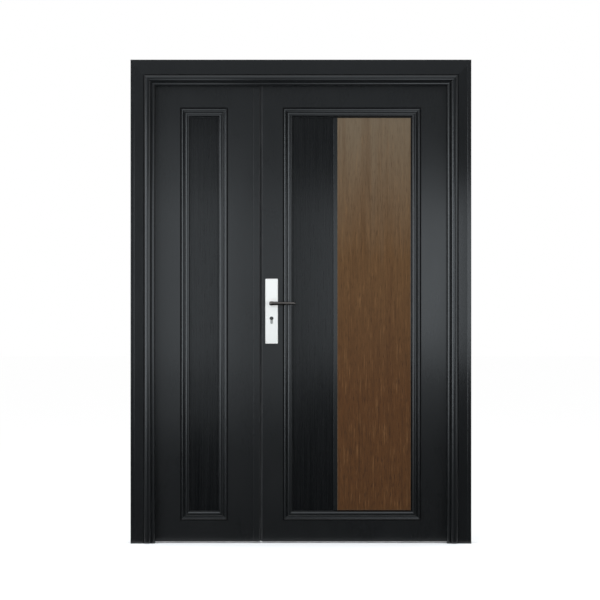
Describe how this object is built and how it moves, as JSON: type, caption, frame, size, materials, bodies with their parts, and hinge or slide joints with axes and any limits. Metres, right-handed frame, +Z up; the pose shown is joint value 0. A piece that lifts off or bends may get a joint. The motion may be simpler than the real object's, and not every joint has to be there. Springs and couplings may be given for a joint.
{
  "type": "security door",
  "caption": "Steel security door set: a narrow and a wide leaf with moulded panels and a wood-grain board, hung in a pressed frame, with lever handles and a key lock.",
  "frame": {"origin": "on the left jamb's flat wall face, at floor level and level with the closed leaves' outside faces", "axes": "+X across the door from the left jamb to the right one seen from outside, +Y from outside to inside, +Z up"},
  "size_m": [1.5, 0.166, 2.13],
  "materials": {
    "black_rubber": "matt black seal",
    "plate_steel": "polished satin steel",
    "lever_metal": "dark polished metal",
    "cylinder_nickel": "plated",
    "lock_steel": "brushed",
    "hinge_steel": "satin black",
    "wood_grain_board": "satin, brown with fine upright grain",
    "black_grained_board": "satin black, embossed upright grain",
    "black_trim": "satin black",
    "black_door_paint": "satin black"
  },
  "bodies": {
    "frame": {"left_jamb": "black_door_paint", "right_jamb": "black_door_paint", "frame_head": "black_door_paint", "left_jamb_seal": "black_rubber", "right_jamb_seal": "black_rubber", "head_seal": "black_rubber", "side_hinge_frame_flaps": "hinge_steel", "main_hinge_frame_flaps": "hinge_steel"},
    "side_leaf": {"cover_strip": "black_door_paint", "flush_bolts": "lock_steel", "side_hinge_leaf_flaps": "hinge_steel", "side_inside_panel": "black_grained_board", "side_inside_rail_moulding": "black_door_paint", "side_inside_stile_moulding": "black_door_paint", "side_leaf_inside": "black_door_paint", "side_leaf_outside": "black_door_paint", "side_outside_panel": "black_grained_board", "side_outside_rail_moulding": "black_door_paint", "side_outside_stile_moulding": "black_door_paint", "strike_plate": "lock_steel"},
    "main_leaf": {"inside_handle_plate": "plate_steel", "lock_bolts": "lock_steel", "lock_cylinder": "cylinder_nickel", "lock_face_plate": "lock_steel", "main_hinge_leaf_flaps": "hinge_steel", "main_inside_dark_panel": "black_grained_board", "main_inside_divider": "black_trim", "main_inside_rail_moulding": "black_door_paint", "main_inside_stile_moulding": "black_door_paint", "main_inside_wood_panel": "wood_grain_board", "main_leaf_inside": "black_door_paint", "main_leaf_outside": "black_door_paint", "main_outside_dark_panel": "black_grained_board", "main_outside_divider": "black_trim", "main_outside_rail_moulding": "black_door_paint", "main_outside_stile_moulding": "black_door_paint", "main_outside_wood_panel": "wood_grain_board", "meeting_seal": "black_rubber", "outside_handle_plate": "plate_steel"},
    "levers": {"outside_lever": "lever_metal", "inside_lever": "lever_metal", "lever_spindle": "lever_metal"}
  },
  "joints": [
    {"name": "main_leaf_swing", "type": "hinge", "parent": "frame", "child": "main_leaf", "pos_m": [1.409, 0.0575, 1], "axis": [0, 0, -1], "range_deg": [0, 110]},
    {"name": "side_leaf_swing", "type": "hinge", "parent": "frame", "child": "side_leaf", "pos_m": [0.091, 0.0575, 1], "axis": [0, 0, 1], "range_deg": [0, 110]},
    {"name": "lever_turn", "type": "hinge", "parent": "main_leaf", "child": "levers", "pos_m": [0.62065, 0, 1.057], "axis": [0, 1, 0], "range_deg": [0, 45], "stiffness_Nm_per_rad": 1.5, "springref_deg": -20.05}
  ]
}
